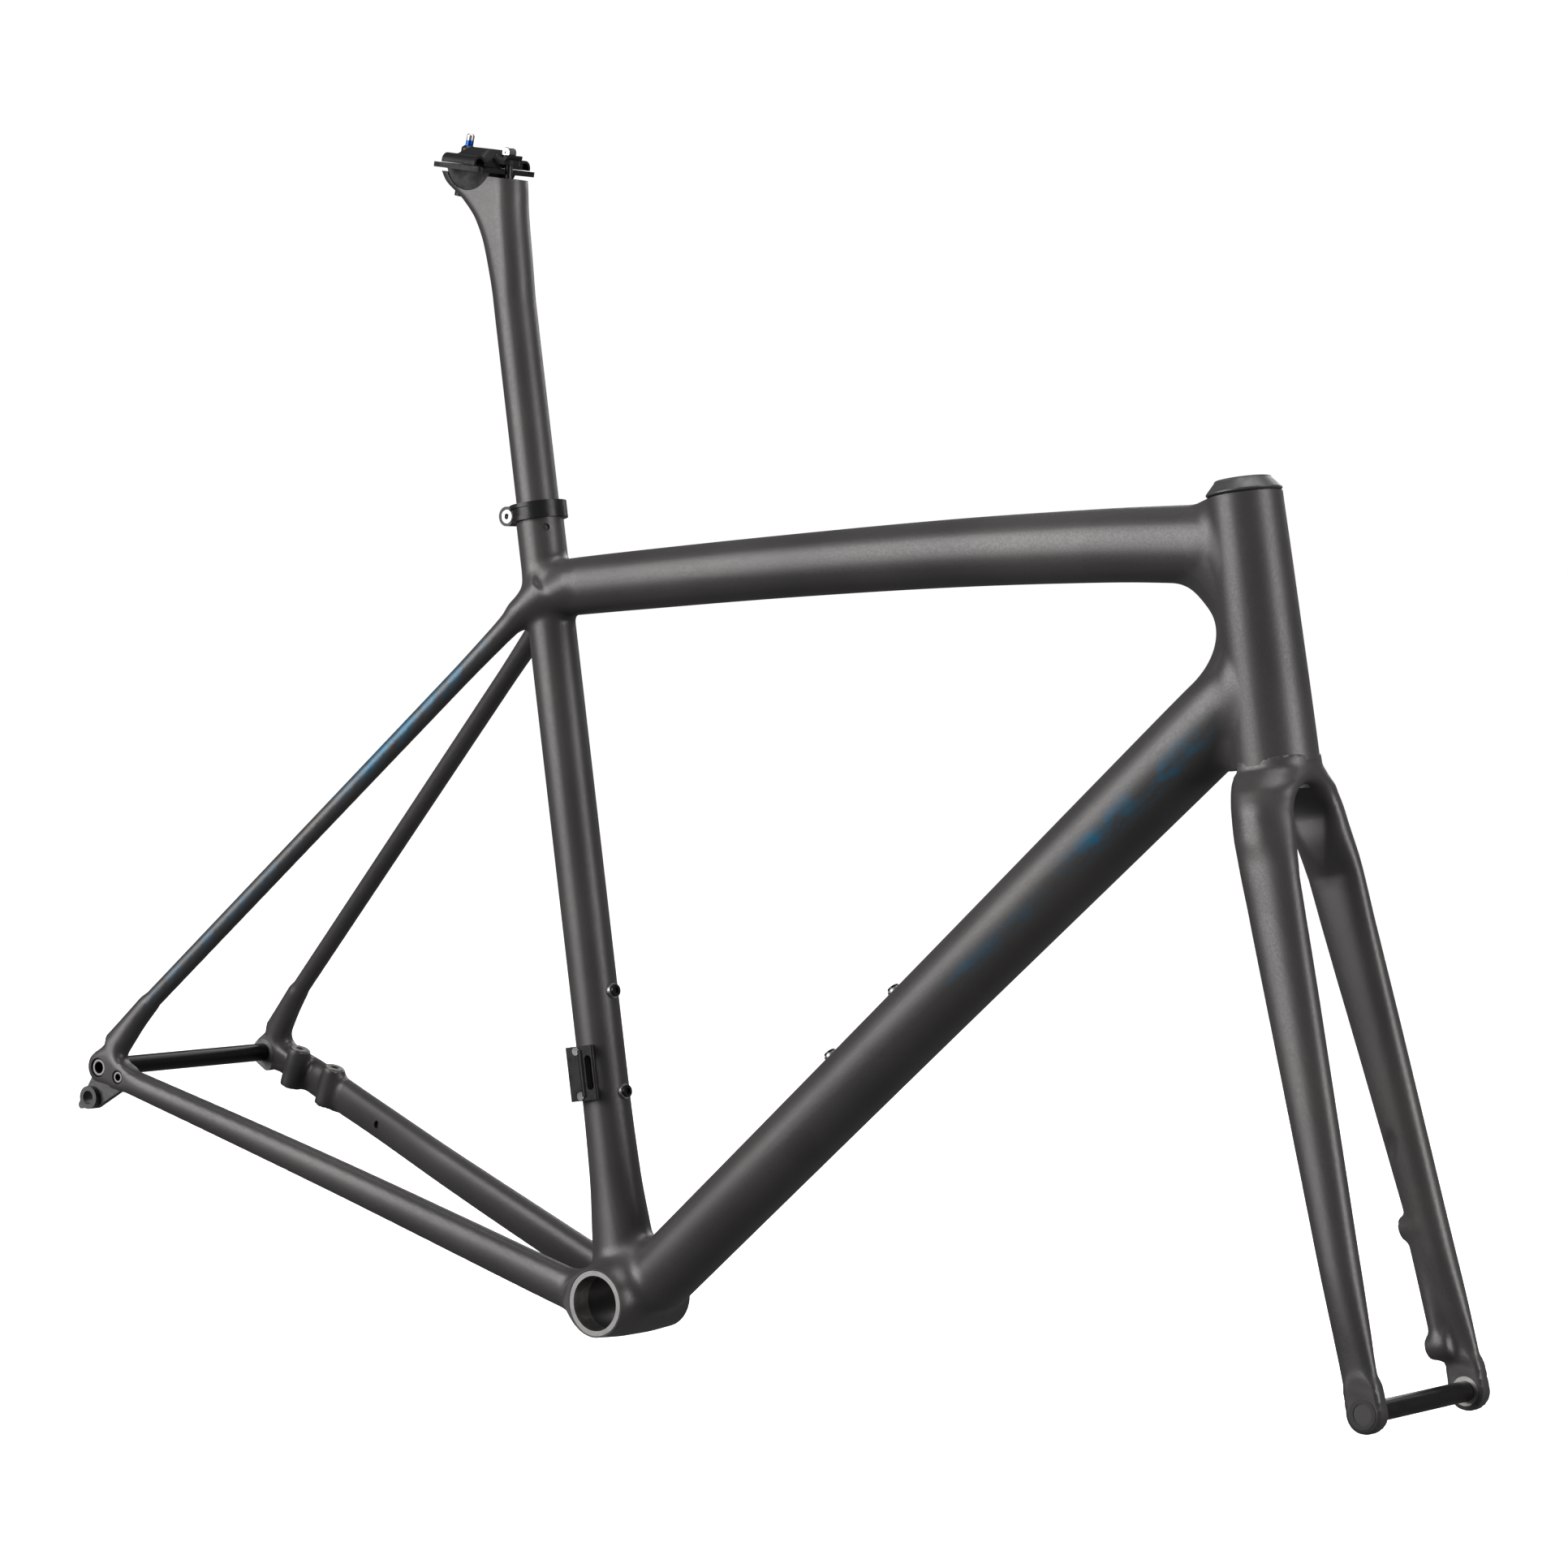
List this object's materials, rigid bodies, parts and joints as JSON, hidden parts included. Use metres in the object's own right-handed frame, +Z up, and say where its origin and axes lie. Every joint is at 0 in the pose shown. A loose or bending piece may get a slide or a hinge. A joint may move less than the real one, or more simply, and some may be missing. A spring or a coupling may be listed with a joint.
{
  "type": "bicycle frame",
  "caption": "Road-bike frameset: lightweight tube frame with disc-brake fork, integrated headset, sliding seatpost with tilting saddle clamp, and removable thru-axles.",
  "frame": {"origin": "centre of the bottom bracket's bore, midway between its two faces", "axes": "+X forward, +Y to the rider's left along the bottom bracket's bore, +Z up with both axles level; the drive side is -Y"},
  "size_m": [1.01, 0.1736, 0.7358],
  "materials": {
    "carbon": "satin moulded carbon laminate",
    "machined_alloy": "machined",
    "blasted_alloy": "bead blasted",
    "gloss_black_alloy": "gloss black anodised",
    "satin_black_alloy": "satin black anodised",
    "black_steel": "black oxide",
    "bright_steel": "bright",
    "bearing_steel": "ground",
    "seal_rubber": "matte"
  },
  "bodies": {
    "frame": {"bottom_bracket_shell": "carbon", "bottom_bracket_insert_right": "machined_alloy", "bottom_bracket_insert_left": "machined_alloy", "seat_tube": "carbon", "head_tube": "carbon", "top_tube": "carbon", "down_tube": "carbon", "dropout_right": "carbon", "dropout_left": "carbon", "derailleur_hanger": "blasted_alloy", "hanger_screw": "black_steel", "dropout_insert_left": "machined_alloy", "chainstay_right": "carbon", "chainstay_left": "carbon", "seatstay_right": "carbon", "seatstay_left": "carbon", "rear_brake_inserts": "machined_alloy", "derailleur_mount": "gloss_black_alloy", "mount_rivets": "bright_steel", "bottle_bosses": "machined_alloy", "bottle_screws": "black_steel", "seat_collar": "gloss_black_alloy", "collar_bolt": "bright_steel", "lower_bearing_outer_race": "bearing_steel", "lower_bearing_balls": "bearing_steel", "upper_bearing_outer_race": "bearing_steel", "upper_bearing_balls": "bearing_steel"},
    "fork": {"steerer": "carbon", "crown_race": "machined_alloy", "lower_bearing_inner_race": "bearing_steel", "upper_bearing_inner_race": "bearing_steel", "compression_ring": "machined_alloy", "headset_cover": "satin_black_alloy", "cover_seal": "seal_rubber", "fork_crown": "carbon", "fork_leg_right": "carbon", "fork_leg_left": "carbon", "fork_axle_nut_right": "machined_alloy", "fork_axle_seat_left": "machined_alloy", "front_brake_inserts": "machined_alloy"},
    "seatpost": {"seatpost": "carbon"},
    "saddle_clamp": {"lower_cradle": "gloss_black_alloy", "upper_clamp": "gloss_black_alloy", "rear_clamp_bolt": "bright_steel", "rear_clamp_nut": "gloss_black_alloy", "front_clamp_bolt": "black_steel", "front_barrel_nut": "bright_steel"},
    "front_axle": {"front_thru_axle": "satin_black_alloy"},
    "rear_axle": {"rear_thru_axle": "satin_black_alloy"}
  },
  "joints": [
    {"name": "steering", "type": "hinge", "parent": "frame", "child": "fork", "pos_m": [0.42749, 0, 0.41213], "axis": [-0.2857, 0, 0.9583], "range_deg": [-70, 70]},
    {"name": "seatpost_height", "type": "slide", "parent": "frame", "child": "seatpost", "axis": [-0.2907, 0, 0.9568], "range_m": [-0.11, 0.04]},
    {"name": "saddle_tilt", "type": "hinge", "parent": "seatpost", "child": "saddle_clamp", "pos_m": [-0.226, 0, 0.698], "axis": [0, 1, 0], "range_deg": [-5, 5]},
    {"name": "front_axle_slide", "type": "slide", "parent": "fork", "child": "front_axle", "axis": [0, 1, 0], "range_m": [0, 0.125]},
    {"name": "rear_axle_slide", "type": "slide", "parent": "frame", "child": "rear_axle", "axis": [0, 1, 0], "range_m": [0, 0.176]}
  ]
}
